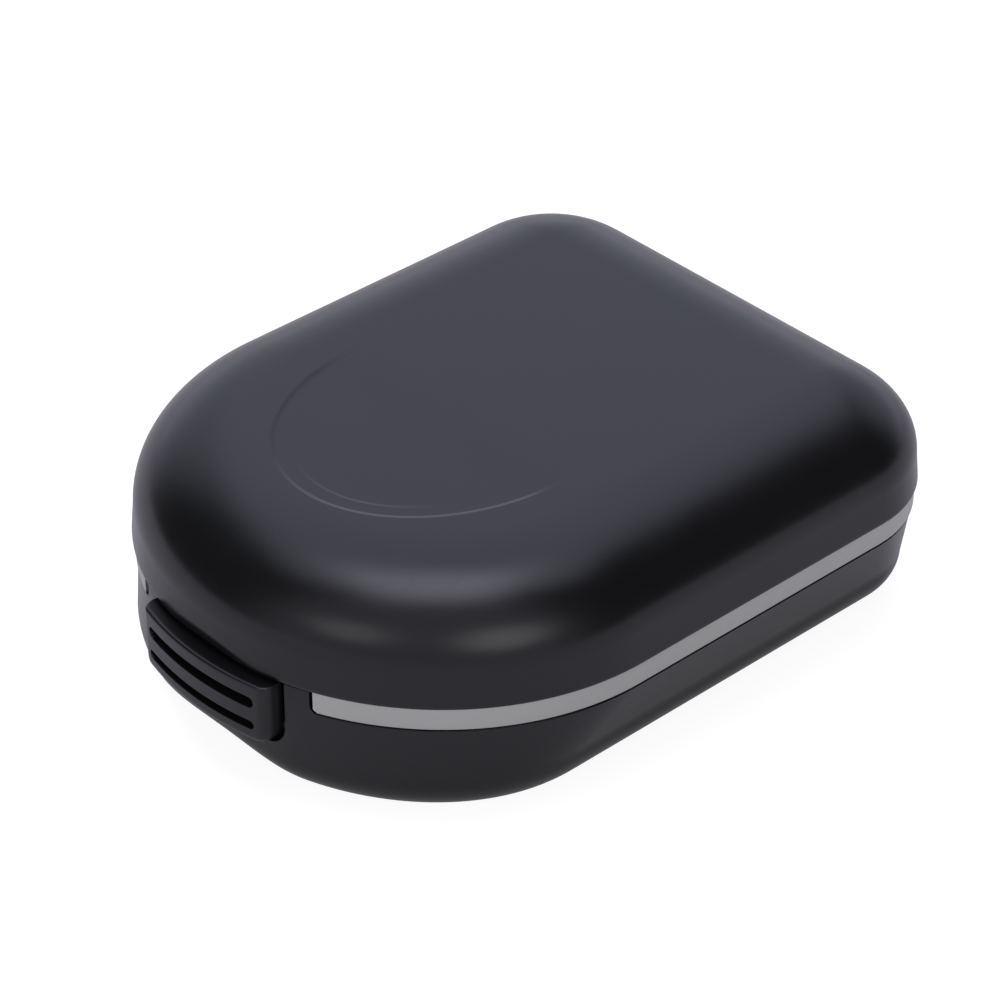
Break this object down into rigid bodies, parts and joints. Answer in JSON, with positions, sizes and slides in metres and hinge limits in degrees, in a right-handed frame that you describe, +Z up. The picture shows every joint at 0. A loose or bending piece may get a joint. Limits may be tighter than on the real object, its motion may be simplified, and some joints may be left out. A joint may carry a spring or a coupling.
{
  "type": "hearing aid case",
  "caption": "Pocket-size D-shaped hard case with a pillow-topped hinged lid, grey trim frame, press latch at the nose and foam beds for hearing aids.",
  "frame": {"origin": "on the flat underside, on the middle plane, midway between the lid's nose and its straight back face", "axes": "+Z up out of the lid, -Y towards the latch, +Y towards the hinge, X across the width"},
  "size_m": [0.068, 0.0878, 0.0283],
  "materials": {
    "lid_plastic": "satin black moulded shell",
    "base_plastic": "satin black moulded shell",
    "latch_plastic": "satin black moulding",
    "frame_plastic": "mid-grey satin moulding",
    "foam": "closed-cell charcoal foam",
    "steel": "bright drawn steel wire and pins"
  },
  "bodies": {
    "base": {"base_shell": "base_plastic", "floor_pad": "foam", "base_foam": "foam", "hinge_pin": "steel", "latch_springs": "steel", "latch_cover": "base_plastic", "cover_screws": "steel"},
    "lid": {"lid_shell": "lid_plastic", "lid_frame": "frame_plastic", "lid_foam": "foam"},
    "latch": {"latch_button": "latch_plastic", "latch_hook": "latch_plastic"}
  },
  "joints": [
    {"name": "lid_hinge", "type": "hinge", "parent": "base", "child": "lid", "pos_m": [0, 0.0425, 0.01225], "axis": [-1, 0, 0], "range_deg": [0, 110]},
    {"name": "latch_press", "type": "slide", "parent": "base", "child": "latch", "axis": [0, 1, 0], "range_m": [0, 0.0012], "stiffness_N_per_m": 800, "springref_m": -0.0015, "deforming": ["latch_springs"]}
  ]
}
